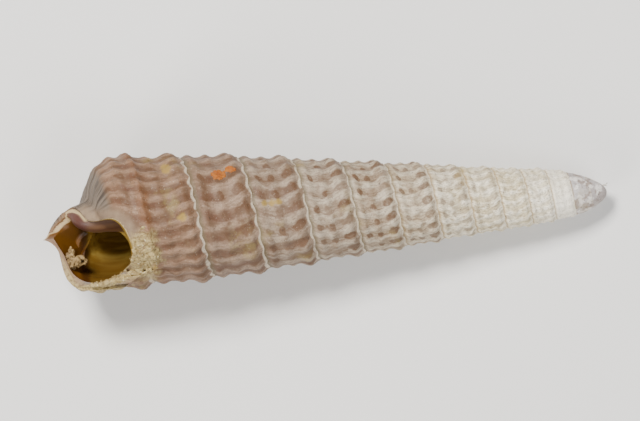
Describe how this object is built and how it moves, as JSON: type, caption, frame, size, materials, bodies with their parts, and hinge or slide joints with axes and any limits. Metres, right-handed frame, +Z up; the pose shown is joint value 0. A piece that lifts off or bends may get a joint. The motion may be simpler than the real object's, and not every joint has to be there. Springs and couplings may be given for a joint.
{
  "type": "turreted sea snail shell",
  "caption": "Slender spiral sea snail shell lying on its side, with beaded whorls, an open aperture and a short beaked canal.",
  "frame": {"origin": "middle of the footprint, on the surface that the shell lies on", "axes": "+X along the shell from the siphonal canal to the apex, +Y to the side opposite the outer lip, +Z up, the way the aperture faces"},
  "size_m": [0.0422, 0.0106, 0.0104],
  "materials": {
    "shell": "satin",
    "crust": "matte"
  },
  "bodies": {
    "root": {"shell": "shell"}
  },
  "joints": []
}
